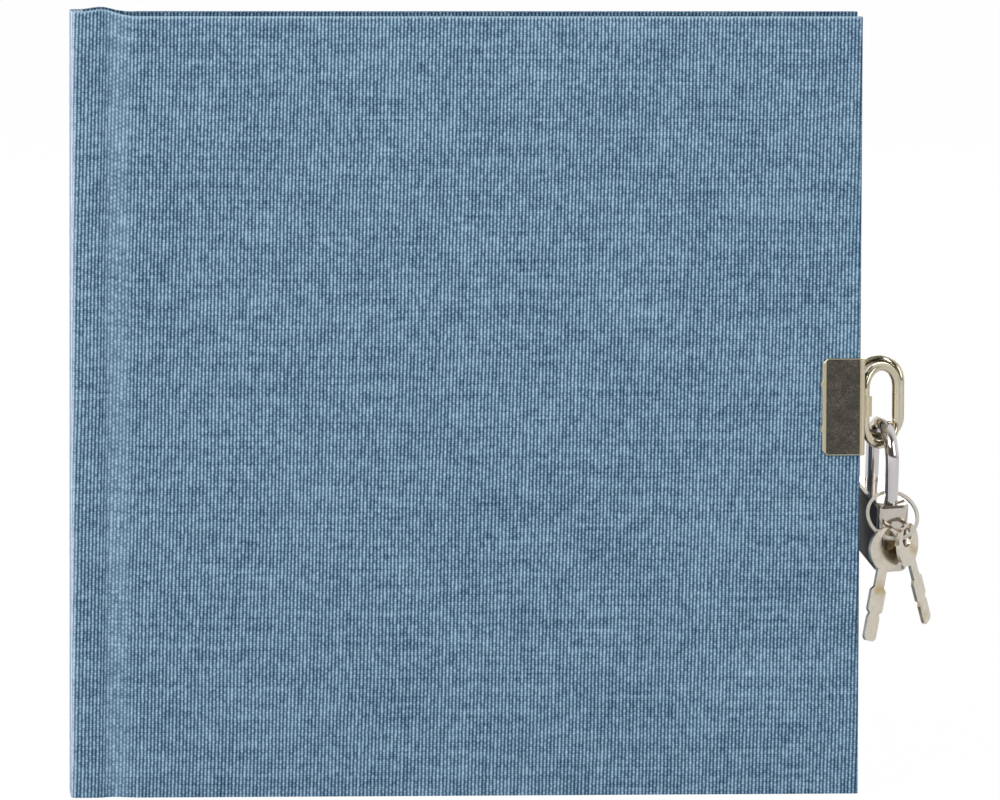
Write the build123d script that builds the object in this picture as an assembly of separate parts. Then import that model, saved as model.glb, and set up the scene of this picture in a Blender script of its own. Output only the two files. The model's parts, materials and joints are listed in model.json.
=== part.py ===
"""Square cloth diary with a padlock: a case-bound book that stands on its tail edge.

X runs from the spine to the fore-edge, Y from the front cover to the back cover and Z up.
The origin is the middle of the spine's foot.
"""
from build123d import *
import os
from math import cos, radians, sin

# Book
BOOK_WIDTH = 167.0
BOOK_HEIGHT = 165.0
BOOK_THICKNESS = 14.0
SPINE_RISE = 1.0
CLOTH = 0.5
BOARD = 2.2
SPINE_BOARD = 2.0
PAPER = 0.2
STRIP_WIDTH = 6.6
JOINT_WIDTH = 4.6
GROOVE_DEPTH = 1.4
GROOVE_SLOPE = 0.8
JOINT_GAP = 0.3
TURN_IN = 15.0
BEVEL_RUN = 3.2
BEVEL_DROP = 1.0
PASTE_INSET = 3.0
CORNER_RADIUS = 1.0
SPINE_RADIUS = 1.2

# Leaves
SQUARE = 3.0
FORE_SQUARE = 4.5
LINING = 0.3
FLYLEAF = 0.25
LEAF_GAP = 0.1
TURN_GAP = 0.05
GATHERINGS = 6
FLYLEAF_BEND = 14.3
FIRST_LEAVES_BEND = 15.3

# Clips and oval rings
CLIP_SHEET = 0.8
CLIP_HEIGHT = 20.6
CLIP_REACH = 8.2
CLIP_INNER_REACH = 2.8
CLIP_FOLD_GAP = 0.1
CLIP_CORNER = 1.0
CLIP_EDGE = 0.3
FOLD_RADIUS = 0.7
PRONG_RADIUS = 1.0
PRONG_PROUD = 0.35
PRONG_SPREAD = 4.8
REAR_CLIP_LIFT = 1.0
RING_WIRE = 1.8
RING_WIDTH = 10.8
RING_HEIGHT = 18.4
KNUCKLE_OFFSET = 1.2
KNUCKLE_FIT = 0.05
KNUCKLE_WALL = 0.45
KNUCKLE_LENGTH = 4.4
FRONT_RING_DROP = 0.13
WINDOW_ROOM = 0.35
WINDOW_LENGTH = 6.2
FRONT_RING_YAW = 37.1
REAR_RING_YAW = 24.3

# Padlock
LOCK_REACH = 4.57
LOCK_Y = 3.86
LOCK_HANG = 18.9
LOCK_TILT = 14.8
LOCK_YAW = 10.4
LOCK_HEIGHT = 15.0
LOCK_DEPTH = 7.0
LOCK_END_WALL = 1.05
LOCK_EDGE_RADIUS = 1.6
LOCK_BEVEL = 0.5
SHACKLE_WIRE = 2.9
SHACKLE_SPAN = 14.5
SHACKLE_RISE = 7.9
SHORT_LEG_TIP = 0.3
LONG_LEG_TIP = 1.0
LONG_BORE_FLOOR = 0.2
BORE_FIT = 0.1
SHORT_BORE_SPARE = 0.6
LONG_BORE_SPARE = 1.8
BOLT_TOP = 2.2
BOLT_HEIGHT = 1.2
BOLT_WIDTH = 2.0
BOLT_LENGTH = 3.2
BOLT_BITE = 0.9
BOLT_FIT = 0.05
NOTCH_DROP = 3.7
BOLT_SPRING_SHEET = 0.25
CHAMBER_HALF_DEPTH = 2.3
CHAMBER_ROOF = 1.4
CHAMBER_WALL = 1.1
BASE_PLATE = 0.8
BASE_LIP = 0.9
BASE_FIT = 0.05
PLUG_RADIUS = 2.0
PLUG_HEIGHT = 5.5
PLUG_FIT = 0.05
KEYWAY_WIDTH = 0.9
KEYWAY_LENGTH = 3.0
PLUG_DRIVE = 1.6
RIVET_RADIUS = 0.45
RIVET_GRIP = 1.2
STOP_PIN_RADIUS = 0.5
STOP_PIN_DROP = 2.6
STOP_SLOT_DEPTH = 0.7
STOP_PIN_WALL = 0.5
SPRING_WIRE = 0.3
SPRING_TURNS = 2.5

# Keys and their split ring
KEY_RING_RADIUS = 5.45
KEY_RING_BAND = 0.7
KEY_RING_SHEET = 0.24
KEY_RING_PITCH = 0.28
KEY_RING_ALONG = -8.7
KEY_RING_DROP = 2.5
KEY_RING_TILT = 44.0
KEY_SHEET = 0.7
KEY_BOW_RADIUS = 4.6
KEY_HOLE_RADIUS = 2.1
KEY_HOLE_RISE = 1.9
KEY_SHANK = 2.6
KEY_BIT = 4.2
KEY_END = 3.4
KEY_TIP_RADIUS = 1.1
KEY_BLADE = 15.2
KEY_SHOULDER = 3.6
KEY_NOTCH = 0.8
KEY_1_AROUND_DEG = -22.0
KEY_1_YAW = 36.0
KEY_1_TILT = 14.0
KEY_1_SAG = 0.5
KEY_2_AROUND_DEG = 21.0
KEY_2_YAW = 57.0
KEY_2_TILT = -29.0
KEY_2_SAG = 0.1

HALF = BOOK_THICKNESS / 2
BOARD_OUT = HALF - CLOTH
BOARD_IN = BOARD_OUT - BOARD
TURNED = BOARD_IN - CLOTH
PASTED = TURNED - PAPER
BLOCK_OUT = PASTED - LEAF_GAP
FLY_IN = BLOCK_OUT - FLYLEAF
GATHERING = 2 * FLY_IN / GATHERINGS
SPINE_OUT = -(CLOTH + SPINE_BOARD) / 2
SPINE_IN = -SPINE_OUT
STRIP_END = SPINE_OUT + STRIP_WIDTH
JOINT_END = STRIP_END + JOINT_WIDTH
FORE_EDGE = SPINE_OUT + BOOK_WIDTH
SPINE_HEIGHT = BOOK_HEIGHT + SPINE_RISE
BLOCK_BACK = SPINE_IN + LINING
LEAF_EDGE = FORE_EDGE - FORE_SQUARE
LEAF_TOP = BOOK_HEIGHT - SQUARE
FRONT = -1
BACK = 1

CLIP_CENTRE = BOOK_HEIGHT / 2
KNUCKLE_X = FORE_EDGE + KNUCKLE_OFFSET
LOCK = (
    Location((KNUCKLE_X + LOCK_REACH, LOCK_Y, CLIP_CENTRE - LOCK_HANG))
    * Location((0, 0, 0), (LOCK_TILT, 0, 0))
    * Location((0, 0, 0), (0, 0, 90 + LOCK_YAW))
)
HALF_SPAN = SHACKLE_SPAN / 2
SHACKLE_RADIUS = SHACKLE_WIRE / 2
LOCK_LENGTH = SHACKLE_SPAN + SHACKLE_WIRE + 2 * (BORE_FIT + LOCK_END_WALL)
SHORT_LEG_IN = BOLT_TOP + BOLT_HEIGHT + NOTCH_DROP + SHORT_LEG_TIP
LONG_LEG_IN = LOCK_HEIGHT - BASE_PLATE - LONG_BORE_FLOOR - LONG_BORE_SPARE
UNLOCK_TRAVEL = LONG_LEG_IN - LONG_LEG_TIP - STOP_PIN_DROP - STOP_PIN_RADIUS - BORE_FIT
KEY_PLACES = {
    "key_1": (KEY_1_AROUND_DEG, KEY_1_YAW, KEY_1_TILT, KEY_1_SAG),
    "key_2": (KEY_2_AROUND_DEG, KEY_2_YAW, KEY_2_TILT, KEY_2_SAG),
}

os.makedirs("parts", exist_ok=True)


def block(x, y, z):
    """A box from three (low, high) pairs."""
    sizes = [abs(high - low) for low, high in (x, y, z)]
    middle = [(low + high) / 2 for low, high in (x, y, z)]
    return Pos(*middle) * Box(*sizes)


def slab(side, x, depth, z):
    """A box whose depth pair is measured outward from the middle of the book, on one side of it."""
    return block(x, sorted(side * d for d in depth), z)


def save(name, shape):
    export_step(shape, f"parts/{name}.step")


def cover_cloth(side):
    """Linen on one board: outside, round three edges and turned in."""
    wrap = bevelled(side, FORE_EDGE, (TURNED, HALF), (0, BOOK_HEIGHT))
    corners = wrap.edges().filter_by(Axis.Y).group_by(Axis.X)[-1]
    wrap = fillet(corners, CORNER_RADIUS)
    window = slab(side, (JOINT_END, FORE_EDGE - TURN_IN), (TURNED, BOARD_IN),
                  (TURN_IN, BOOK_HEIGHT - TURN_IN))
    return wrap - cover_board(side) - window


def cover_board(side):
    return bevelled(side, FORE_EDGE - CLOTH, (BOARD_IN, BOARD_OUT), (CLOTH, BOOK_HEIGHT - CLOTH))


def bevelled(side, end, depth, z):
    """A slab from the joint to the fore-edge, sloped down into the joint on its outer face."""
    low, high = depth
    outline = [(JOINT_END, low), (end, low), (end, high), (JOINT_END + BEVEL_RUN, high),
               (JOINT_END, high - BEVEL_DROP)]
    profile = make_face(Polyline(*[(x, side * d) for x, d in outline], close=True))
    return Pos(0, 0, z[0]) * extrude(profile, amount=z[1] - z[0], dir=(0, 0, 1))


def pastedown(side):
    """Endpaper over the turn-ins, pressed down onto the bare board between them."""
    sheet = slab(side, (JOINT_END, FORE_EDGE - PASTE_INSET), (PASTED, TURNED),
                 (PASTE_INSET, BOOK_HEIGHT - PASTE_INSET))
    pressed = slab(side, (JOINT_END, FORE_EDGE - TURN_IN), (TURNED, BOARD_IN),
                   (TURN_IN, BOOK_HEIGHT - TURN_IN))
    return sheet + pressed


def spine_cloth():
    """Linen round the spine and both strips, down into the joint grooves."""
    groove_out = HALF - GROOVE_DEPTH
    groove_in = groove_out - CLOTH
    groove_end = JOINT_END - JOINT_GAP
    strip_face = STRIP_END - CLOTH
    outer = [(groove_end, groove_out), (STRIP_END + GROOVE_SLOPE, groove_out),
             (STRIP_END, HALF), (SPINE_OUT, HALF)]
    inner = [(SPINE_OUT + CLOTH, BOARD_OUT), (strip_face, BOARD_OUT),
             (strip_face, groove_in), (groove_end, groove_in)]
    outline = (
        [(x, -y) for x, y in outer] + outer[::-1] + inner[::-1] + [(x, -y) for x, y in inner]
    )
    profile = make_face(Polyline(*outline, close=True))
    cloth = extrude(profile, amount=SPINE_HEIGHT, dir=(0, 0, 1))
    for low in (0, SPINE_HEIGHT - CLOTH):
        ends = (low, low + CLOTH)
        cloth += block((SPINE_OUT, SPINE_IN), (-HALF, HALF), ends)
        for side in (FRONT, BACK):
            cloth += slab(side, (SPINE_OUT, strip_face), (BOARD_IN, HALF), ends)
    edges = cloth.edges().filter_by(Axis.Z).group_by(Axis.X)[0]
    return fillet(edges, SPINE_RADIUS)


def hinge_strip(side):
    return slab(side, (SPINE_OUT + CLOTH, STRIP_END - CLOTH), (BOARD_IN, BOARD_OUT),
                (CLOTH, SPINE_HEIGHT - CLOTH))


def guard(side):
    """Bound edge of an endpaper, built up to the hinge strip that is glued to it."""
    sheet = slab(side, (BLOCK_BACK, FLYLEAF_BEND - TURN_GAP), (FLY_IN, BLOCK_OUT),
                 (SQUARE, LEAF_TOP))
    build_up = slab(side, (BLOCK_BACK, STRIP_END - CLOTH), (BLOCK_OUT, BOARD_IN),
                    (SQUARE, LEAF_TOP))
    return sheet + build_up


def flyleaf(side):
    return slab(side, (FLYLEAF_BEND, LEAF_EDGE), (FLY_IN + TURN_GAP, BLOCK_OUT), (SQUARE, LEAF_TOP))


def book_case():
    for name, side in (("front", FRONT), ("back", BACK)):
        save(f"{name}_board", cover_board(side))
        save(f"{name}_cover_cloth", cover_cloth(side))
        save(f"{name}_pastedown", pastedown(side))
        save(f"{name}_hinge_strip", hinge_strip(side))
        save(f"{name}_guard", guard(side))
        save(f"{name}_flyleaf", flyleaf(side))
    save("spine_cloth", spine_cloth())
    save("spine_board", block((SPINE_OUT + CLOTH, SPINE_IN), (-BOARD_IN, BOARD_IN),
                              (CLOTH, SPINE_HEIGHT - CLOTH)))
    save("spine_lining", block((SPINE_IN, BLOCK_BACK), (-FLY_IN, FLY_IN), (SQUARE, LEAF_TOP)))


def book_block():
    """Sewn gatherings. The first one's leaves turn, and its fold stays in the spine."""
    height = (SQUARE, LEAF_TOP)
    first = (-FLY_IN, -FLY_IN + GATHERING)
    save("first_fold", block((BLOCK_BACK, FIRST_LEAVES_BEND - TURN_GAP), first, height))
    loose = (first[0], first[1] - TURN_GAP)
    save("first_leaves", block((FIRST_LEAVES_BEND, LEAF_EDGE), loose, height))
    for number in range(1, GATHERINGS):
        low = -FLY_IN + number * GATHERING
        save(f"gathering_{number + 1}", block((BLOCK_BACK, LEAF_EDGE), (low, low + GATHERING), height))


KNUCKLE_DEPTH = (HALF + TURNED) / 2
WIRE_RADIUS = RING_WIRE / 2


def clip_centre(side):
    return CLIP_CENTRE + (REAR_CLIP_LIFT if side == BACK else 0)


def clip(side):
    """Sheet folded round the fore-edge, with a knuckle on the fold and a window above and below it."""
    face_out = HALF + CLIP_SHEET
    face_in = TURNED - CLIP_SHEET
    fold_in = FORE_EDGE + CLIP_FOLD_GAP
    fold_out = fold_in + CLIP_SHEET
    left = FORE_EDGE - CLIP_REACH
    inner_left = FORE_EDGE - CLIP_INNER_REACH
    outline = [(left, face_out), (fold_out, face_out), (fold_out, face_in), (inner_left, face_in),
               (inner_left, TURNED), (fold_in, TURNED), (fold_in, HALF), (left, HALF)]
    profile = make_face(Polyline(*outline, close=True))
    bends = profile.vertices().group_by(Axis.X)[-1]
    profile = fillet(bends, FOLD_RADIUS)
    sheet = extrude(profile, amount=CLIP_HEIGHT / 2, dir=(0, 0, 1), both=True)
    corners = sheet.edges().filter_by(Axis.Y).group_by(Axis.X)[0]
    sheet = chamfer(corners, CLIP_CORNER)
    for rise in (-PRONG_SPREAD, PRONG_SPREAD):
        prong = Cylinder(PRONG_RADIUS, CLIP_SHEET, rotation=(90, 0, 0))
        sheet += Pos(left + PRONG_RADIUS - PRONG_PROUD, (HALF + face_out) / 2, rise) * prong
    rim = sheet.edges().group_by(Axis.Y)[-1]
    sheet = fillet(rim, CLIP_EDGE)
    bore = WIRE_RADIUS + KNUCKLE_FIT
    knuckle = Pos(KNUCKLE_X, KNUCKLE_DEPTH) * Cylinder(bore + KNUCKLE_WALL, KNUCKLE_LENGTH)
    room = WIRE_RADIUS + WINDOW_ROOM
    near = KNUCKLE_LENGTH / 2
    sheet += knuckle
    for low, high in ((near, near + WINDOW_LENGTH), (-near - WINDOW_LENGTH, -near)):
        sheet -= block((FORE_EDGE, KNUCKLE_X + room), (KNUCKLE_DEPTH - room, KNUCKLE_DEPTH + room),
                       (low, high))
    sheet -= Pos(KNUCKLE_X, KNUCKLE_DEPTH) * Cylinder(bore, KNUCKLE_LENGTH)
    sheet -= block((FORE_EDGE - CLIP_REACH, FORE_EDGE), (TURNED, HALF), (-CLIP_HEIGHT, CLIP_HEIGHT))
    if side == FRONT:
        sheet = mirror(sheet, about=Plane.XZ)
    return Pos(0, 0, clip_centre(side)) * sheet


def oval_ring(side):
    """A wire oval whose inner leg turns in the knuckle."""
    across = RING_WIDTH - RING_WIRE
    bend = across / 2
    straight = RING_HEIGHT - RING_WIRE - across
    swing = FRONT_RING_YAW if side == FRONT else -REAR_RING_YAW
    wire = Circle(WIRE_RADIUS)
    ring = Cylinder(WIRE_RADIUS, straight) + Pos(across, 0, 0) * Cylinder(WIRE_RADIUS, straight)
    for end in (1, -1):
        bow = revolve(wire, Axis((bend, 0, 0), (0, end, 0)), 180)
        ring += Pos(0, 0, end * straight / 2) * bow
    drop = FRONT_RING_DROP if side == FRONT else 0
    place = Location((KNUCKLE_X, side * KNUCKLE_DEPTH, clip_centre(side) - drop), (0, 0, swing))
    return place * ring


def clips_and_rings():
    for name, side in (("front", FRONT), ("rear", BACK)):
        save(f"{name}_clip", clip(side))
        save(f"{name}_ring", oval_ring(side))


def shackle():
    """Round bar: the short leg is at the near end, the long leg at the far end."""
    bar = Circle(SHACKLE_RADIUS)
    arch = revolve(Pos(-HALF_SPAN, 0) * bar, Axis.Y, 180)
    shape = Pos(0, 0, SHACKLE_RISE) * arch
    for along, inside in ((-HALF_SPAN, SHORT_LEG_IN), (HALF_SPAN, LONG_LEG_IN)):
        leg = extrude(Pos(along, 0, -inside) * bar, amount=inside + SHACKLE_RISE, dir=(0, 0, 1))
        shape += leg
    notch_face = -HALF_SPAN + SHACKLE_RADIUS - BOLT_BITE - BOLT_FIT
    notch = block((notch_face, 0), (-SHACKLE_WIRE, SHACKLE_WIRE),
                  (-BOLT_TOP - BOLT_HEIGHT - NOTCH_DROP, -BOLT_TOP + BOLT_FIT))
    slot_face = HALF_SPAN - SHACKLE_RADIUS + STOP_SLOT_DEPTH
    slot_top = -STOP_PIN_DROP + STOP_PIN_RADIUS + BORE_FIT
    slot_foot = -STOP_PIN_DROP - STOP_PIN_RADIUS - UNLOCK_TRAVEL - BORE_FIT
    slot = block((0, slot_face), (-SHACKLE_WIRE, SHACKLE_WIRE), (slot_foot, slot_top))
    return shape - notch - slot


CHAMBER_NEAR = -HALF_SPAN + SHACKLE_RADIUS + BORE_FIT + CHAMBER_WALL
CHAMBER_FAR = -CHAMBER_NEAR
PLATE_TOP = -LOCK_HEIGHT + BASE_PLATE
STOP_PIN_ALONG = HALF_SPAN - SHACKLE_RADIUS + STOP_SLOT_DEPTH - STOP_PIN_RADIUS - BORE_FIT / 2
STOP_PIN_HALF = LOCK_DEPTH / 2 - STOP_PIN_WALL
BOLT_NEAR = -HALF_SPAN + SHACKLE_RADIUS - BOLT_BITE


def base_plate_outline(fit):
    """The base plate's half length and half depth, with a clearance."""
    return LOCK_LENGTH / 2 - BASE_LIP - fit, LOCK_DEPTH / 2 - BASE_LIP - fit


def lock_case():
    half_length, half_depth = LOCK_LENGTH / 2, LOCK_DEPTH / 2
    case = block((-half_length, half_length), (-half_depth, half_depth), (-LOCK_HEIGHT, 0))
    case = fillet(case.edges().filter_by(Axis.Z), LOCK_EDGE_RADIUS)
    rims = case.edges().group_by(Axis.Z)
    case = chamfer(rims[0] + rims[-1], LOCK_BEVEL)
    bore = SHACKLE_RADIUS + BORE_FIT
    for along, deep in ((-HALF_SPAN, SHORT_LEG_IN + SHORT_BORE_SPARE),
                        (HALF_SPAN, LONG_LEG_IN + LONG_BORE_SPARE)):
        case -= Pos(along, 0, -deep / 2) * Cylinder(bore, deep)
    case -= block((CHAMBER_NEAR, CHAMBER_FAR), (-CHAMBER_HALF_DEPTH, CHAMBER_HALF_DEPTH),
                  (-LOCK_HEIGHT, -CHAMBER_ROOF))
    plate_length, plate_depth = base_plate_outline(0)
    case -= block((-plate_length, plate_length), (-plate_depth, plate_depth), (-LOCK_HEIGHT, PLATE_TOP))
    half_width = BOLT_WIDTH / 2 + BOLT_FIT
    case -= block((-HALF_SPAN, CHAMBER_NEAR), (-half_width, half_width),
                  (-BOLT_TOP - BOLT_HEIGHT - BOLT_FIT, -BOLT_TOP + BOLT_FIT))
    case -= stop_pin()
    return case - lock_rivets()


def stop_pin():
    pin = Cylinder(STOP_PIN_RADIUS, 2 * STOP_PIN_HALF, rotation=(90, 0, 0))
    return Pos(STOP_PIN_ALONG, 0, -STOP_PIN_DROP) * pin


def lock_rivets():
    """Two rivets up through the base plate into the walls of the chamber."""
    length = BASE_PLATE + RIVET_GRIP
    across = CHAMBER_FAR + CHAMBER_WALL / 2
    pair = []
    for along in (-across, across):
        stem = Pos(along, 0, -LOCK_HEIGHT + length / 2) * Cylinder(RIVET_RADIUS, length)
        pair.append(stem)
    return Compound(children=pair)


def lock_base_plate():
    plate_length, plate_depth = base_plate_outline(BASE_FIT)
    plate = block((-plate_length, plate_length), (-plate_depth, plate_depth), (-LOCK_HEIGHT, PLATE_TOP))
    plate -= Pos(0, 0, -LOCK_HEIGHT) * Cylinder(PLUG_RADIUS + PLUG_FIT, 4 * BASE_PLATE)
    return plate - lock_rivets()


def lock_plug():
    """Turning keyway, with a square drive on its inner end."""
    plug = Pos(0, 0, -LOCK_HEIGHT + PLUG_HEIGHT / 2) * Cylinder(PLUG_RADIUS, PLUG_HEIGHT)
    half = KEYWAY_LENGTH / 2
    plug -= block((-half, half), (-KEYWAY_WIDTH / 2, KEYWAY_WIDTH / 2),
                  (-LOCK_HEIGHT, -LOCK_HEIGHT + PLUG_HEIGHT - BASE_PLATE))
    top = -LOCK_HEIGHT + PLUG_HEIGHT
    return plug + block((-PLUG_DRIVE / 2, PLUG_DRIVE / 2), (-PLUG_DRIVE / 2, PLUG_DRIVE / 2),
                        (top, top + PLUG_DRIVE))


def locking_bolt():
    half_width = BOLT_WIDTH / 2
    return block((BOLT_NEAR, BOLT_NEAR + BOLT_LENGTH), (-half_width, half_width),
                 (-BOLT_TOP - BOLT_HEIGHT, -BOLT_TOP))


def bolt_spring():
    """Bent leaf between the bolt's tail and the far wall of the chamber."""
    start = BOLT_NEAR + BOLT_LENGTH
    middle = -BOLT_TOP - BOLT_HEIGHT / 2
    rise = BOLT_HEIGHT / 2
    foot = middle - 2 * BOLT_HEIGHT
    sheet = BOLT_SPRING_SHEET
    points = [start, CHAMBER_FAR]
    outline = [
        (points[0], middle + rise), (points[0], middle - rise), (0, foot),
        (points[1], middle - rise), (points[1], middle + rise),
        (points[1] - sheet, middle + rise), (points[1] - sheet, middle - rise + sheet),
        (0, foot + sheet), (points[0] + sheet, middle - rise + sheet), (points[0] + sheet, middle + rise),
    ]
    face = Plane.XZ * make_face(Polyline(*outline, close=True))
    return extrude(face, amount=BOLT_WIDTH / 2, both=True)


def shackle_spring():
    """Short coil under the long leg."""
    room = LONG_BORE_SPARE - SPRING_WIRE
    radius = SHACKLE_RADIUS - SPRING_WIRE
    coil = Helix(room / SPRING_TURNS, room, radius)
    start = Plane(coil @ 0, z_dir=coil % 0)
    wire = sweep(start * Circle(SPRING_WIRE / 2), path=coil, is_frenet=True)
    return Pos(HALF_SPAN, 0, -LONG_LEG_IN - LONG_BORE_SPARE + SPRING_WIRE / 2) * wire


def padlock():
    pieces = {
        "shackle": shackle(),
        "lock_case": lock_case(),
        "lock_base_plate": lock_base_plate(),
        "lock_rivets": lock_rivets(),
        "lock_plug": lock_plug(),
        "locking_bolt": locking_bolt(),
        "bolt_spring": bolt_spring(),
        "shackle_spring": shackle_spring(),
        "shackle_stop_pin": stop_pin(),
    }
    for name, piece in pieces.items():
        save(name, LOCK * piece)


KEY_RING_PLACE = (
    LOCK
    * Location((KEY_RING_ALONG, 0, -KEY_RING_DROP))
    * Location((0, 0, 0), (0, KEY_RING_TILT, 0))
)


def key_ring():
    """Split ring: two flat turns of one band, its axis along the ring frame's X."""
    height = 2 * KEY_RING_PITCH
    turns = Helix(KEY_RING_PITCH, height, KEY_RING_RADIUS)
    start = Plane(turns @ 0, x_dir=(1, 0, 0), z_dir=turns % 0)
    band = sweep(start * Rectangle(KEY_RING_BAND, KEY_RING_SHEET), path=turns, is_frenet=True)
    return Location((-height / 2, 0, 0), (0, 90, 0)) * band


def key():
    """Flat key in its own XZ plane: the bow's hole is at the origin and the blade points down."""
    bow_centre = -KEY_HOLE_RISE
    blade_top = bow_centre - KEY_BOW_RADIUS
    tip = blade_top - KEY_BLADE
    neck, bit, end = KEY_SHANK / 2, KEY_BIT / 2, KEY_END / 2
    shoulder = blade_top - KEY_SHOULDER
    step = (shoulder - tip) / 2
    blade = [(-neck, bow_centre), (-neck, shoulder), (-bit, shoulder - KEY_NOTCH),
             (-bit, shoulder - step + KEY_NOTCH), (-neck, shoulder - step),
             (-end, shoulder - step - KEY_NOTCH), (-end, tip)]
    outline = blade + [(-x, z) for x, z in reversed(blade)]
    flat = make_face(Polyline(*outline, close=True))
    flat = fillet(flat.vertices().group_by(Axis.Y)[0], KEY_TIP_RADIUS)
    profile = flat + Pos(0, bow_centre) * Circle(KEY_BOW_RADIUS)
    profile -= Circle(KEY_HOLE_RADIUS)
    return extrude(Plane.XZ * profile, amount=KEY_SHEET / 2, both=True)


def key_place(around, turn, lean, sag):
    """A key's frame: where it hangs round the ring, its turn about Z, its lean and its hole's sag."""
    angle = radians(around)
    hang = KEY_RING_PLACE * Location((0, -KEY_RING_RADIUS * sin(angle), -KEY_RING_RADIUS * cos(angle)))
    point = hang.position - Vector(0, 0, sag)
    return Location(point, (0, 0, turn)) * Location((0, 0, 0), (0, lean, 0))


def keys():
    save("key_ring", KEY_RING_PLACE * key_ring())
    for name, place in KEY_PLACES.items():
        save(name, key_place(*place) * key())


book_case()
book_block()
clips_and_rings()
padlock()
keys()
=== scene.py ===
"""Blue linen diary with a padlock, standing on a pale floor. Metres, in the CAD model's frame."""
import json
from math import cos, hypot, pi, radians, sin

import bpy
from mathutils import Matrix, Vector


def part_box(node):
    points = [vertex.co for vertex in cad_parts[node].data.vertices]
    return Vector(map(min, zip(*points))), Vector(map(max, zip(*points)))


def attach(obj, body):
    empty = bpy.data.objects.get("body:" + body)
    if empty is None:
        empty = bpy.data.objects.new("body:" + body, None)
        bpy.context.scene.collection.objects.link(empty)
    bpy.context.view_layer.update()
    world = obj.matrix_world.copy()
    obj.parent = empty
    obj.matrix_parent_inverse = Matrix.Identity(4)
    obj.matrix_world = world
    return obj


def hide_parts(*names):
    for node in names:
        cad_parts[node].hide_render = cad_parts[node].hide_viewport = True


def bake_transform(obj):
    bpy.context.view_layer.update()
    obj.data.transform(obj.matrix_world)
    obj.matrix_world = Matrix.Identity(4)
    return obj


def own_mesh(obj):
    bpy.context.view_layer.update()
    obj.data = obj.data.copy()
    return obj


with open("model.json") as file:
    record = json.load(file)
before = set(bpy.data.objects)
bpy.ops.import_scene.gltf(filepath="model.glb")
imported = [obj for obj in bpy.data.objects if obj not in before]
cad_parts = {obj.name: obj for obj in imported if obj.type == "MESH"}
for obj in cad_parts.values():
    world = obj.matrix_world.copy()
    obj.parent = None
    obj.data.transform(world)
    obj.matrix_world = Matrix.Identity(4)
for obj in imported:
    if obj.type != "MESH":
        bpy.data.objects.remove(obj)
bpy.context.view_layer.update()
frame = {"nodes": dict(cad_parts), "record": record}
nodes = frame["nodes"]

MM = 0.001

# Camera
CAMERA_PLACE = (-0.05765, -2.007, 0.25958)
CAMERA_YAW = 4.2
CAMERA_PITCH = -5.0
CAMERA_ROLL = 0.21
CAMERA_LENS = 343.3
CAMERA_SENSOR = 36
CAMERA_CLIP = (0.1, 50)

# Studio: the place, size, power and tint of each lamp, and what the metal reflects from the camera's side to the back
LAMPS = {
    "key": ((-0.9, -1.6, 1.5), 1.0, 25.8, (1, 1, 1)),
    "fill": ((1.3, -1.3, 0.8), 1.2, 10.2, (1, 1, 1)),
    "rim": ((-1.3, 0.25, 0.25), 0.8, 13, (1, 0.95, 0.95)),
    "back": ((0.5, 1.9, 1.1), 1.2, 15, (1, 1, 1)),
}
LAMP_AIM = Vector((0.085, 0, 0.08))
FLOOR_SIZE = 12
FLOOR_DROP = 0.2 * MM
FLOOR_COLOUR = (0.9, 0.9, 0.9, 1)
FLOOR_WHITE = 0.985
SURROUND = (0.4, 0.4, 0.4, 1)
REFLECTED = ((0.22, (0.10, 0.09, 0.075, 1)), (0.47, (0.95, 0.94, 0.92, 1)))
WHITE = (1, 1, 1, 1)

# Linen, as sRGB
THREAD_LIGHT = (163, 190, 210)
THREAD_MID = (87, 118, 142)
THREAD_GAP = (18, 44, 71)
# Painted highlight: the pale colour the spine's rounded edge is paled towards, patterned like rub wear, standing in
# for strong rim light on that edge
SPINE_RUBBED_HIGHLIGHT = (192, 201, 219)

# Weave
WARP_PITCH = 0.757 * MM
WEFT_PITCH = 0.485 * MM
WARP_LEAN = -0.022
DRIFT_SCALE = 25.0
JITTER_SCALE = 700.0
JITTER = 0.3
THREADS_APART = 7.31
SLUB_LENGTH = 4 * MM
NUB_LENGTH = 1.1 * MM
PICK_LENGTH = 14 * MM
PICK_RANGE = (0.6, 0.78)
WEFT_LENGTH = 28 * MM
PATCH_SCALE = 60.0
# Painted highlight on the joint groove: widths of its ramps at the start and the end of the joint
PRESSED_HIGHLIGHT_IN = 2 * MM
PRESSED_HIGHLIGHT_OUT = 3 * MM
# How the thread level patterns the painted highlight on the spine's edge, like rub wear
RUB_HIGHLIGHT_RANGE = (-0.6, 1.3)
WEAVE_HEIGHT = 0.12 * MM

# How far each detail moves a point of the linen from gap, at 0, through middle tone, at 0.5, to light thread, at 1
WARP_LEVEL = 0.33
# The joint groove's warp contrast is lowered, for stretched cloth and as part of the painted highlight there
WARP_LEVEL_PRESSED_HIGHLIGHT = -0.13
DETAIL_LEVELS = {
    "beads": 0.078,
    "picks": 0.052,
    "slub": 0.48,
    "nub": 0.66,
    "pick": 0.15,
    "weft": 0.34,
    "patch": 0.1,
    # Painted highlight: the joint groove is lighter, where its slope catches the light
    "pressed_highlight": 0.13,
    # Painted highlight: a lighter band along the head edge on the front cover's outer side, where the edge catches
    # the light
    "fold": 0.4,
    # Painted shade: the linen's turned-in inner side is darker, where it lies in shadow
    "inner_shade": -0.12,
    # Painted highlight: the spine's flat is lightened, given as sun fading, to go with the pale rounded edge
    "faded_highlight": 0.15,
}

# Case
GROOVE_DEPTH = 1.4 * MM
GROOVE_FULLNESS = 0.8
STRIP_WIDTH = 6.6 * MM
JOINT_WIDTH = 4.6 * MM
JOINT_RUNOUT = 3.0 * MM
STRIP_RUNOUT_SHARE = 0.3
SPINE_ROUND = 1.2 * MM
EDGE_ROUND = 0.6 * MM
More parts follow.
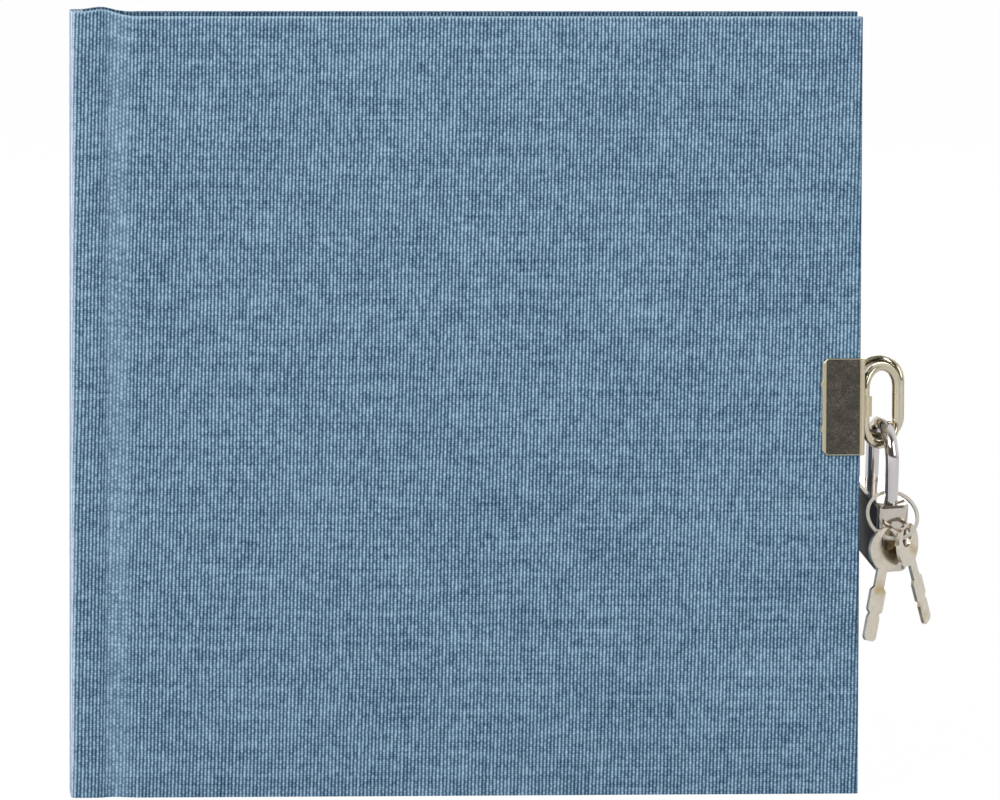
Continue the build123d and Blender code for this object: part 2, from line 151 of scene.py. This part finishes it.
# Reach of the painted highlight on the spine's rounded edge: over the flat, and round the edge
RUBBED_HIGHLIGHT_WIDTH = 3.0 * MM
RUBBED_HIGHLIGHT_TURN = 0.3 * SPINE_ROUND
CLOTH = 0.5 * MM
BOARD = 2.2 * MM
SPINE_BOARD = 2.0 * MM
TURNED_IN = 0.12 * MM

# Head of the case
HEAD_HUMP = 0.5 * MM
# Height of the painted highlight band along the front cover's head edge
HEAD_HIGHLIGHT_BAND = 0.6 * MM
BACK_HEAD_RISE = 0.6 * MM

# Mesh of the linen
ROWS = 56
CORNER_STEPS = 5
FINE_STEP = 0.35 * MM
COARSE_STEP = 2.5 * MM
FINE_PAST_JOINT = 1 * MM
COARSE_END = 2 * MM

# Paper and board
BUMP_STRENGTH = 0.3
FIBRE_STRETCH = (700.0, 700.0, 2400.0)
FIBRE_RANGE = (0.25, 0.62)
FIBRE_SHADE = 0.9
FIBRE_HEIGHT = 0.2
CLOUD_SCALE = 40.0
CLOUD_RANGE = (0.45, 0.8)
CLOUD_SHADE = 0.94
LEAF_STRETCH = (20.0, 9000.0, 20.0)
LEAF_RANGE = (0.35, 0.6)
LEAF_GAP_SHADE = 0.62
PAGE_FACING = 0.5
PAPER_HEIGHT = 0.05 * MM
FLECK_RANGE = (0.3, 0.6)
FLECK_SHADE = 0.7
FLECK_HEIGHT = 0.08 * MM

# Metal
SMUDGE = 0.1
SMUDGE_SCALE = 260.0
SPOT_SCALE = 900.0
SPOT_RANGE = (0.35, 0.65)
SPOT_STRENGTH = 0.12
SPOT_HEIGHT = 0.05 * MM
WORN_SCALE = 150.0
WORN_RANGE = (0.5, 0.68)
SPAN_FADE = 0.3 * MM
# Painted highlight: a band along the clip's left edge stays bright metal beside its dark face, where the bevel
# catches the light
CLIP_HIGHLIGHT_EDGE = 1.0 * MM
# Painted light on the metal faces: where faces turn dark, their speckle, and bright flecks that are painted glints
FACE_TURN = (0.93, 0.99)
FACE_CLOUD_SCALE = 420.0
FACE_CLOUD = 0.25
FACE_GRAIN_SCALE = 2600.0
FACE_METALLIC = -0.85
FACE_ROUGHNESS = 0.4
GREY_SHARE = 2.1
GREY_RANGE = (0.38, 0.6)
GLINT_BRIGHT = 0.3
GLINT_DARK = 1.6
GLINT_RANGE = (0.58, 0.7)

# Plain metals: sRGB colour, roughness and the nodes they dress
METALS = {
    "ring_metal": ((202, 193, 172), 0.14, ("front_ring", "rear_ring")),
    "shackle_chrome": ((207, 202, 202), 0.12, ("shackle",)),
    "lock_plate": ((170, 170, 172), 0.4, ("lock_base_plate", "lock_rivets", "shackle_stop_pin")),
    "lock_brass": ((200, 165, 96), 0.3, ("lock_plug", "locking_bolt")),
    "spring_steel": ((120, 120, 124), 0.35, ("bolt_spring", "shackle_spring")),
    "key_ring_nickel": ((232, 228, 218), 0.36, ("key_ring",)),
}


def srgb(red, green, blue):
    """A linear colour from 8-bit sRGB."""
    def linear(value):
        value /= 255
        return value / 12.92 if value <= 0.04045 else ((value + 0.055) / 1.055) ** 2.4
    return (linear(red), linear(green), linear(blue), 1.0)


def scaled(colour, share):
    """A linear colour at a share of its brightness."""
    return tuple(share * c for c in colour[:3]) + (1.0,)


def smooth(share):
    """A share from 0 to 1, eased at both ends."""
    return share * share * (3 - 2 * share)


class Nodes:
    """A node tree, with short calls for the nodes used here."""

    def __init__(self, tree):
        self.tree = tree

    def node(self, kind, **settings):
        made = self.tree.nodes.new(kind)
        for key, value in settings.items():
            setattr(made, key, value)
        return made

    def link(self, source, target):
        self.tree.links.new(source, target)

    def put(self, socket, value):
        if hasattr(value, "is_output"):
            self.link(value, socket)
        else:
            socket.default_value = value

    def math(self, operation, *values, clamp=False):
        made = self.node("ShaderNodeMath", operation=operation, use_clamp=clamp)
        for socket, value in zip(made.inputs, values):
            self.put(socket, value)
        return made.outputs[0]

    def mix(self, factor, first, second):
        made = self.node("ShaderNodeMix", data_type="RGBA")
        self.put(made.inputs[0], factor)
        self.put(made.inputs[6], first)
        self.put(made.inputs[7], second)
        return made.outputs[2]

    def noise(self, vector, scale, detail=2.0, roughness=0.5):
        made = self.node("ShaderNodeTexNoise")
        self.link(vector, made.inputs["Vector"])
        made.inputs["Scale"].default_value = scale
        made.inputs["Detail"].default_value = detail
        made.inputs["Roughness"].default_value = roughness
        return made.outputs["Fac"]

    def swing(self, *noise):
        """Noise about nought."""
        return self.math("SUBTRACT", self.noise(*noise), 0.5)

    def stretch(self, vector, scale):
        made = self.node("ShaderNodeMapping")
        self.link(vector, made.inputs["Vector"])
        made.inputs["Scale"].default_value = scale
        return made.outputs[0]

    def split(self, vector):
        made = self.node("ShaderNodeSeparateXYZ")
        self.link(vector, made.inputs[0])
        return made.outputs

    def ramp(self, value, low, high, kind="SMOOTHSTEP"):
        """From 0 at low to 1 at high, which may be the smaller of the two."""
        made = self.node("ShaderNodeMapRange", interpolation_type=kind)
        self.put(made.inputs["Value"], value)
        made.inputs["From Min"].default_value = low
        made.inputs["From Max"].default_value = high
        return made.outputs[0]


class Shader(Nodes):
    """A material with its node tree."""

    def __init__(self, name):
        self.material = bpy.data.materials.new(name)
        self.material.use_nodes = True
        super().__init__(self.material.node_tree)
        self.surface = self.tree.nodes["Principled BSDF"]

    def place(self, kind="Object"):
        return self.node("ShaderNodeTexCoord").outputs[kind]

    def bump(self, height, distance, strength=BUMP_STRENGTH):
        made = self.node("ShaderNodeBump")
        made.inputs["Strength"].default_value = strength
        made.inputs["Distance"].default_value = distance
        self.put(made.inputs["Height"], height)
        self.link(made.outputs[0], self.surface.inputs["Normal"])

    def set(self, **values):
        for key, value in values.items():
            self.put(self.surface.inputs[key.replace("_", " ")], value)


def linen():
    """Plain weave: light upright threads over dark gaps, with slubs and weft streaks, and painted light: a lighter
    band on the front cover's head edge, a lighter joint groove, painted shade on the turned-in inner side, and a
    lighter spine whose rounded edge is paled like rub wear, a painted highlight for the rim light.

    U runs round the case from the middle of the spine, below nought on the back, and V up it, both in metres.
    """
    spine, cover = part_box("spine_cloth"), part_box("front_cover_cloth")
    spine_edge = spine[1][1] - SPINE_ROUND
    spine_face = spine_edge + pi / 2 * SPINE_ROUND
    spine_turn = spine_face - SPINE_ROUND
    joint_start = spine_turn + STRIP_WIDTH
    joint_end = joint_start + JOINT_WIDTH + JOINT_RUNOUT
    fore_turn = spine_turn + cover[1][0] - spine[0][0]
    head = cover[1][2]
    shader = Shader("linen")
    uv = shader.place("UV")
    u, v = shader.split(uv)[:2]
    reach = shader.math("ABSOLUTE", u)
    jitter = shader.math("MULTIPLY", shader.swing(uv, JITTER_SCALE, 1.0), JITTER)
    sway = shader.math("ADD", shader.swing(uv, DRIFT_SCALE, 1.0), jitter)
    leaning = shader.math("MULTIPLY_ADD", v, WARP_LEAN, u)
    across = shader.math("ADD", shader.math("DIVIDE", leaning, WARP_PITCH), sway)
    along = shader.math("ADD", shader.math("DIVIDE", v, WEFT_PITCH), sway)
    column, row = shader.math("FLOOR", across), shader.math("FLOOR", along)
    warp = shader.math("COSINE", shader.math("MULTIPLY", shader.math("SUBTRACT", across, 0.5), 2 * pi))

    def strand(number, way, length):
        """Where to look up noise along one thread, far from its neighbours."""
        place = shader.node("ShaderNodeCombineXYZ")
        shader.link(shader.math("MULTIPLY", number, THREADS_APART), place.inputs[0])
        shader.link(shader.math("DIVIDE", way, length), place.inputs[1])
        return place.outputs[0]

    patch = shader.swing(uv, PATCH_SCALE, 3.0)
    # Painted highlight mask over the joint groove; it also lowers the warp contrast there for stretched cloth
    pressed_highlight = shader.math("MULTIPLY", shader.ramp(reach, joint_start, joint_start + PRESSED_HIGHLIGHT_IN),
                          shader.ramp(reach, joint_end, joint_end - PRESSED_HIGHLIGHT_OUT))
    details = {
        "beads": shader.math("COSINE", shader.math("MULTIPLY", shader.math("ADD", column, along), pi)),
        "picks": shader.math("COSINE", shader.math("MULTIPLY", along, 2 * pi)),
        "slub": shader.swing(strand(column, v, SLUB_LENGTH), 1.0),
        "nub": shader.swing(strand(column, v, NUB_LENGTH), 1.0),
        "pick": shader.ramp(shader.noise(strand(row, u, PICK_LENGTH), 1.0), *PICK_RANGE),
        "weft": shader.swing(strand(row, u, WEFT_LENGTH), 1.0),
        "patch": patch,
        "pressed_highlight": pressed_highlight,
        # Painted highlight along the head edge, on the outer side only
        "fold": shader.math("MULTIPLY", shader.ramp(v, head - HEAD_HIGHLIGHT_BAND, head),
                            shader.math("LESS_THAN", reach, fore_turn)),
        # Painted shade on the turned-in inner side
        "inner_shade": shader.math("GREATER_THAN", reach, fore_turn),
        # Painted highlight: the spine's flat lightened, given as sun fading
        "faded_highlight": shader.ramp(reach, spine_face, spine_edge),
    }
    warp_level = shader.math("MULTIPLY_ADD", pressed_highlight, WARP_LEVEL_PRESSED_HIGHLIGHT, WARP_LEVEL)
    level = shader.math("MULTIPLY_ADD", warp, warp_level, 0.5)
    for detail, weight in DETAIL_LEVELS.items():
        level = shader.math("MULTIPLY_ADD", details[detail], weight, level)
    shade = shader.mix(shader.ramp(level, 0.0, 0.5), srgb(*THREAD_GAP), srgb(*THREAD_MID))
    shade = shader.mix(shader.ramp(level, 0.5, 1.0), shade, srgb(*THREAD_LIGHT))
    # Painted highlight: the spine's rounded edge is paled, patterned like rub wear by the patches and thread level,
    # standing in for strong rim light
    rubbed_highlight = shader.math("MULTIPLY", shader.ramp(reach, spine_edge - RUBBED_HIGHLIGHT_WIDTH, spine_edge),
                         shader.ramp(reach, spine_face, spine_edge + RUBBED_HIGHLIGHT_TURN))
    worn = shader.math("ADD", patch, shader.ramp(level, *RUB_HIGHLIGHT_RANGE), clamp=True)
    shade = shader.mix(shader.math("MULTIPLY", rubbed_highlight, worn), shade, srgb(*SPINE_RUBBED_HIGHLIGHT))
    shader.bump(level, WEAVE_HEIGHT)
    shader.set(Base_Color=shade, Roughness=0.9, Specular_IOR_Level=0.2)
    return shader.material


def paper(name, colour, lines):
    """Off-white paper with faint fibres; with lines, its cut edges show the leaves."""
    shader = Shader(name)
    tint = srgb(*colour)
    place = shader.place()
    fibre = shader.noise(shader.stretch(place, FIBRE_STRETCH), 1.0, 4.0, 0.7)
    cloud = shader.noise(place, CLOUD_SCALE, 3.0)
    shade = shader.mix(shader.ramp(fibre, *FIBRE_RANGE), scaled(tint, FIBRE_SHADE), tint)
    shade = shader.mix(shader.ramp(cloud, *CLOUD_RANGE), shade, scaled(tint, CLOUD_SHADE))
    height = fibre
    if lines:
        facing = shader.math("ABSOLUTE", shader.split(shader.place("Normal"))[1])
        page = shader.math("GREATER_THAN", facing, PAGE_FACING)
        leaves = shader.noise(shader.stretch(place, LEAF_STRETCH), 1.0)
        leaves = shader.math("MAXIMUM", shader.ramp(leaves, *LEAF_RANGE), page)
        # Painted shade in the gaps between the leaves on the cut edges
        shade = shader.mix(leaves, scaled(tint, LEAF_GAP_SHADE), shade)
        height = shader.math("MULTIPLY_ADD", fibre, FIBRE_HEIGHT, leaves)
    shader.bump(height, PAPER_HEIGHT)
    shader.set(Base_Color=shade, Roughness=0.85)
    return shader.material


def fibrous(name, colour, grain):
    """Board or gauze: matt, flecked with darker fibres."""
    shader = Shader(name)
    tint = srgb(*colour)
    flecks = shader.noise(shader.place(), grain, 5.0, 0.75)
    shade = shader.mix(shader.ramp(flecks, *FLECK_RANGE), scaled(tint, FLECK_SHADE), tint)
    shader.bump(flecks, FLECK_HEIGHT)
    shader.set(Base_Color=shade, Roughness=0.9)
    return shader.material


def metal(name, colour, roughness, speckle=0.0, under=None):
    """Plated and a little smudged; it may be speckled, and worn in places to a metal under the plate."""
    shader = Shader(name)
    tone = tint = srgb(*colour)
    place = shader.place()
    smudge = shader.noise(place, SMUDGE_SCALE, 3.0, 0.6)
    if speckle:
        spots = shader.noise(place, SPOT_SCALE, 4.0, 0.7)
        tone = shader.mix(shader.ramp(spots, *SPOT_RANGE), scaled(tint, 1 - speckle), tint)
        shader.bump(spots, SPOT_HEIGHT, SPOT_STRENGTH)
    if under:
        worn = shader.ramp(shader.noise(place, WORN_SCALE), *WORN_RANGE)
        tone = shader.mix(worn, tone, srgb(*under))
    shader.set(Base_Color=tone, Metallic=1.0,
               Roughness=shader.math("MULTIPLY_ADD", smudge, SMUDGE, roughness - SMUDGE / 2))
    return shader.material


def metal_with_painted_light(name, bright, dark, wide, span, roughness):
    """Bright metal on ends and edges, with dark, dull faces speckled with bright flecks across the wide direction, in
    a span of X; on the lock the dark faces are a painted reflection of dark surroundings, and the flecks are painted
    glints.
    """
    shader = Shader(name)
    bright, dark = srgb(*bright), srgb(*dark)
    place = shader.place()
    facing = shader.node("ShaderNodeVectorMath", operation="DOT_PRODUCT")
    shader.link(shader.place("Normal"), facing.inputs[0])
    facing.inputs[1].default_value = wide
    # side is 1 on the faces across the wide direction, within the span, which take the dark colour
    side = shader.ramp(shader.math("ABSOLUTE", facing.outputs["Value"]), *FACE_TURN)
    x = shader.split(place)[0]
    for edge, fade in ((span[0], SPAN_FADE), (span[1], -SPAN_FADE)):
        side = shader.math("MULTIPLY", side, shader.ramp(x, edge, edge + fade))
    cloud = shader.swing(place, FACE_CLOUD_SCALE)
    grain = shader.math("MULTIPLY_ADD", cloud, FACE_CLOUD, shader.noise(place, FACE_GRAIN_SCALE, 6.0, 0.85))
    # Bright flecks in the dark faces: painted glints
    glint = tuple(GLINT_BRIGHT * b + GLINT_DARK * d for b, d in zip(bright[:3], dark[:3])) + (1.0,)
    face = shader.mix(shader.ramp(grain, *GREY_RANGE), dark, scaled(dark, GREY_SHARE))
    face = shader.mix(shader.ramp(grain, *GLINT_RANGE), face, glint)
    shader.set(Base_Color=shader.mix(side, bright, face), Specular_IOR_Level=0.1,
               Metallic=shader.math("MULTIPLY_ADD", side, FACE_METALLIC, 1.0),
               Roughness=shader.math("MULTIPLY_ADD", side, FACE_ROUGHNESS, roughness))
    return shader.material


def dress(material, *names):
    """Give CAD nodes their material."""
    for name in names:
        slots = nodes[name].data.materials
        slots.clear()
        slots.append(material)


def linen_half(name, side, cloth_material):
    """Linen on half of the case, from the middle of the spine to the turned-in fore-edge."""
    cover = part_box("front_cover_cloth" if side < 0 else "back_cover_cloth")
    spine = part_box("spine_cloth")
    half = spine[1][1]
    left, fore, top = spine[0][0], cover[1][0], cover[1][2]
    rise = spine[1][2] - top
    inner = min(abs(cover[0][1]), abs(cover[1][1]))
    strip_end = left + STRIP_WIDTH
    joint_end = strip_end + JOINT_WIDTH
    strip_in = half - CLOTH - BOARD - TURNED_IN
    strip_side = strip_end - CLOTH + TURNED_IN
    wall = left + CLOTH + SPINE_BOARD + TURNED_IN

    def groove(x):
        """Depth of the joint groove below the face of the board."""
        middle = (strip_end + joint_end) / 2
        reach = JOINT_WIDTH / 2 + (JOINT_RUNOUT if x > middle else JOINT_RUNOUT * STRIP_RUNOUT_SHARE)
        off = abs(x - middle) / reach
        if off >= 1:
            return 0.0
        return GROOVE_DEPTH * (0.5 + 0.5 * cos(pi * off)) ** GROOVE_FULLNESS

    def head_lift(x):
        """How far the linen's head rises over the boards: highest where the joint gathers it."""
        past = max(0.0, min(1.0, (x - strip_end) / (JOINT_WIDTH + JOINT_RUNOUT)))
        near = max(0.0, 1 - abs(x - strip_end) / JOINT_WIDTH)
        lift = (rise + HEAD_HUMP * smooth(near)) * (1 - smooth(past))
        return lift if side < 0 else lift + BACK_HEAD_RISE * past

    corner = [pi / 2 * step / CORNER_STEPS for step in range(CORNER_STEPS + 1)]
    outline = [(left, 0.0), (left, half * 0.5)]
    for turn in corner:
        outline.append((left + SPINE_ROUND * (1 - cos(turn)), half - SPINE_ROUND * (1 - sin(turn))))
    x = left + SPINE_ROUND
    while x < fore - EDGE_ROUND - COARSE_END:
        x += FINE_STEP if x < joint_end + JOINT_RUNOUT + FINE_PAST_JOINT else COARSE_STEP
        outline.append((x, half - groove(x)))
    for turn in corner:
        outline.append((fore - EDGE_ROUND * (1 - sin(turn)), half - EDGE_ROUND * (1 - cos(turn))))
    groove_in = half - GROOVE_DEPTH - CLOTH

    def lining(x, depth):
        """The point on the linen's inner side that lies behind a point of its face."""
        if x < wall:
            return wall, min(depth, strip_in)
        if x < joint_end:
            return x, strip_in if x < strip_side else groove_in
        return x, inner

    count = len(outline)
    behind = []
    for x, depth in outline:
        point = lining(x, depth)
        if point not in outline[count:]:
            outline.append(point)
        behind.append(outline.index(point, count))
    outline[count:] = reversed(outline[count:])
    behind = [count + len(outline) - 1 - k for k in behind]

    verts, faces, coords = [], [], []
    lengths = [0.0]
    for a, b in zip(outline, outline[1:] + outline[:1]):
        lengths.append(lengths[-1] + hypot(b[0] - a[0], b[1] - a[1]))
    around = len(outline)
    for row in range(ROWS + 1):
        for x, depth in outline:
            verts.append((x, side * depth, row / ROWS * (top + head_lift(x))))
    for row in range(ROWS):
        low, high = row * around, (row + 1) * around
        for k in range(around):
            after = (k + 1) % around
            faces.append((low + k, low + after, high + after, high + k))
            coords.append([(-side * lengths[k + i], (row + j) / ROWS * top)
                           for i, j in ((0, 0), (1, 0), (1, 1), (0, 1))])
    for row in (0, ROWS):
        for k in range(count - 1):
            corners = list(dict.fromkeys((k, k + 1, behind[k + 1], behind[k])))
            faces.append(tuple(row * around + c for c in (corners if row == 0 else corners[::-1])))
            # The front half's head cap takes V above the top, so the painted highlight along the head covers it
            over = top if row and side < 0 else 0.0
            coords.append([(-side * (half + verts[i][0] - left), over + abs(verts[i][1])) for i in faces[-1]])
    if side < 0:
        faces = [face[::-1] for face in faces]
        coords = [pairs[::-1] for pairs in coords]

    mesh = bpy.data.meshes.new(name)
    mesh.from_pydata(verts, [], faces)
    layer = mesh.uv_layers.new(name="UVMap")
    for polygon, pairs in zip(mesh.polygons, coords):
        for loop, pair in zip(polygon.loop_indices, pairs):
            layer.data[loop].uv = pair
    mesh.materials.append(cloth_material)
    obj = bpy.data.objects.new(name, mesh)
    bpy.context.scene.collection.objects.link(obj)
    start, end = (strip_end, side * half, 0), (joint_end, side * half, 0)
    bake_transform(obj)
    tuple(start)
    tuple(end)
    return obj


def studio():
    """Pale floor, soft lamps and an even surround; the metal reflects one with a dark camera side."""
    bpy.ops.mesh.primitive_plane_add(size=FLOOR_SIZE, location=(0, 0, -FLOOR_DROP))
    floor = bpy.context.object
    floor.name = "floor"
    shader = Shader("floor")
    shader.set(Base_Color=FLOOR_COLOUR, Roughness=0.8)
    path = shader.node("ShaderNodeLightPath")
    blend = shader.node("ShaderNodeMixShader")
    shader.link(shader.math("MULTIPLY", path.outputs["Is Camera Ray"], FLOOR_WHITE), blend.inputs[0])
    shader.link(shader.surface.outputs[0], blend.inputs[1])
    shader.link(shader.node("ShaderNodeEmission").outputs[0], blend.inputs[2])
    shader.link(blend.outputs[0], shader.tree.nodes["Material Output"].inputs["Surface"])
    floor.data.materials.append(shader.material)

    world = bpy.data.worlds.new("studio")
    bpy.context.scene.world = world
    world.use_nodes = True
    sky = Nodes(world.node_tree)
    depth = sky.split(sky.node("ShaderNodeTexCoord").outputs["Generated"])[1]
    reflected = sky.node("ShaderNodeValToRGB")
    for stop, (position, colour) in zip(reflected.color_ramp.elements, REFLECTED):
        stop.position = position
        stop.color = colour
    sky.link(sky.ramp(depth, -1.0, 1.0, "LINEAR"), reflected.inputs[0])
    path = sky.node("ShaderNodeLightPath")
    around = sky.mix(path.outputs["Is Glossy Ray"], SURROUND, reflected.outputs[0])
    around = sky.mix(path.outputs["Is Camera Ray"], around, WHITE)
    sky.link(around, sky.tree.nodes["Background"].inputs[0])

    for name, (place, size, power, tint) in LAMPS.items():
        data = bpy.data.lights.new(name, "AREA")
        data.size = size
        data.energy = power
        data.color = tint
        lamp = bpy.data.objects.new(name, data)
        bpy.context.scene.collection.objects.link(lamp)
        lamp.location = place
        lamp.rotation_euler = (LAMP_AIM - Vector(place)).to_track_quat("-Z", "Y").to_euler()


def camera():
    """The photo's view: yaw from straight ahead, pitch and a slight roll."""
    yaw, pitch, roll = (radians(a) for a in (CAMERA_YAW, CAMERA_PITCH, CAMERA_ROLL))
    ahead = Vector((sin(yaw) * cos(pitch), cos(yaw) * cos(pitch), sin(pitch)))
    right = Vector((cos(yaw), -sin(yaw), 0))
    up = right.cross(ahead)
    right, up = right * cos(roll) + up * sin(roll), up * cos(roll) - right * sin(roll)
    data = bpy.data.cameras.new("camera")
    data.lens = CAMERA_LENS
    data.sensor_width = CAMERA_SENSOR
    data.sensor_fit = "HORIZONTAL"
    data.clip_start, data.clip_end = CAMERA_CLIP
    obj = bpy.data.objects.new("camera", data)
    bpy.context.scene.collection.objects.link(obj)
    turn = Matrix((right, up, -ahead)).transposed().to_4x4()
    obj.matrix_world = Matrix.Translation(CAMERA_PLACE) @ turn
    bpy.context.scene.camera = obj


def book():
    """Linen over the case, and materials for its boards and paper."""
    cloth = linen()
    front = linen_half("front_linen", -1, cloth)
    back = linen_half("back_linen", 1, cloth)
    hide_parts("front_cover_cloth", "spine_cloth")
    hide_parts("back_cover_cloth")
    dress(fibrous("greyboard", (140, 134, 124), 1500.0), "front_board", "back_board", "spine_board",
          "front_hinge_strip", "back_hinge_strip")
    dress(paper("endpaper", (240, 236, 225), False), "front_pastedown", "back_pastedown", "front_flyleaf",
          "back_flyleaf", "front_guard", "back_guard")
    dress(paper("leaves", (243, 239, 228), True), "first_leaves", "first_fold", "gathering_2", "gathering_3",
          "gathering_4", "gathering_5", "gathering_6")
    dress(fibrous("lining", (214, 208, 194), 2500.0), "spine_lining")


def bolt_leaf_spring(bolt_slide):
    """The bolt's spring, copied as a part of its own and attached to the lock body."""
    node = nodes["bolt_spring"]
    spring = node.copy()
    spring.name = "bolt_leaf_spring"
    bpy.context.scene.collection.objects.link(spring)
    axis = Vector(bolt_slide["axis"])
    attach(spring, "lock_body")
    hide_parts("bolt_spring")
    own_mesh(spring)


def hardware():
    """Materials for the clips, rings, padlock and keys, and a copy of the bolt's spring."""
    joints = {joint["name"]: joint for joint in frame["record"]["behaviour"]["joints"]}
    lock_side = Vector(joints["shackle_release"]["axis"]).cross(Vector(joints["bolt_slide"]["axis"])).normalized()
    clip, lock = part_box("front_clip"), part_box("lock_case")
    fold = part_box("front_cover_cloth")[1][0]
    # Painted highlight: the clip's dark face starts a little in from its left edge, leaving a bright band
    clip_face = (clip[0][0] + CLIP_HIGHLIGHT_EDGE, fold)
    dress(metal_with_painted_light("clip_metal", (206, 196, 168), (58, 55, 50), (0, 1, 0), clip_face, 0.3),
          "front_clip", "rear_clip")
    lock_face = (lock[0][0] - SPAN_FADE, lock[1][0] + SPAN_FADE)
    # The lock's wide faces are dark: a painted reflection of dark surroundings on chrome that is the same all over
    dress(metal_with_painted_light("lock_chrome", (200, 193, 184), (30, 31, 36), lock_side, lock_face, 0.14), "lock_case")
    for name, (colour, roughness, dressed) in METALS.items():
        dress(metal(name, colour, roughness), *dressed)
    dress(metal("key_nickel", (222, 214, 200), 0.22, speckle=0.1, under=(190, 168, 126)), "key_1", "key_2")
    bolt_leaf_spring(joints["bolt_slide"])


bpy.context.scene.view_settings.view_transform = "Standard"
book()
hardware()
studio()
camera()
